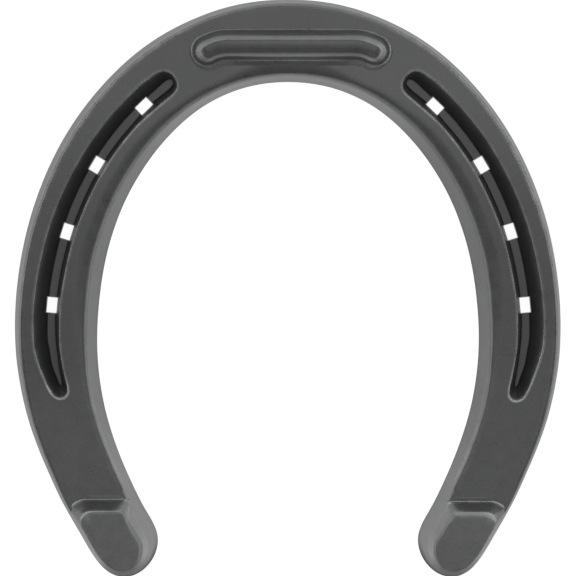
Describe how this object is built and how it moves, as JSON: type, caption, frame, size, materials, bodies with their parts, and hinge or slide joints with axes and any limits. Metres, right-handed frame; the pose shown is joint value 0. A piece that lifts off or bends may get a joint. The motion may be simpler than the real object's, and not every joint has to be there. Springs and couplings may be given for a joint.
{
  "type": "horseshoe",
  "caption": "Steel toe-and-heel horseshoe with two fullered creases, square nail holes, a raised toe grab and a calk block on each heel.",
  "frame": {"origin": "middle of the shoe's plan outline, on the flat hoof-bearing face", "axes": "+Y to the toe, +Z from the hoof face to the ground side that carries the creases, toe grab and calks, +X across the shoe"},
  "size_m": [0.1304, 0.138, 0.014],
  "materials": {
    "shoe_steel": "dark grey drop-forged steel, fine shot-blasted grain, satin",
    "grab_steel": "dark grey forged steel, shot-blasted, edges rubbed brighter",
    "calk_steel": "dark grey forged steel, shot-blasted, edges rubbed brighter"
  },
  "bodies": {
    "root": {"shoe_body": "shoe_steel", "toe_grab": "grab_steel", "heel_calk_left": "calk_steel", "heel_calk_right": "calk_steel"}
  },
  "joints": []
}
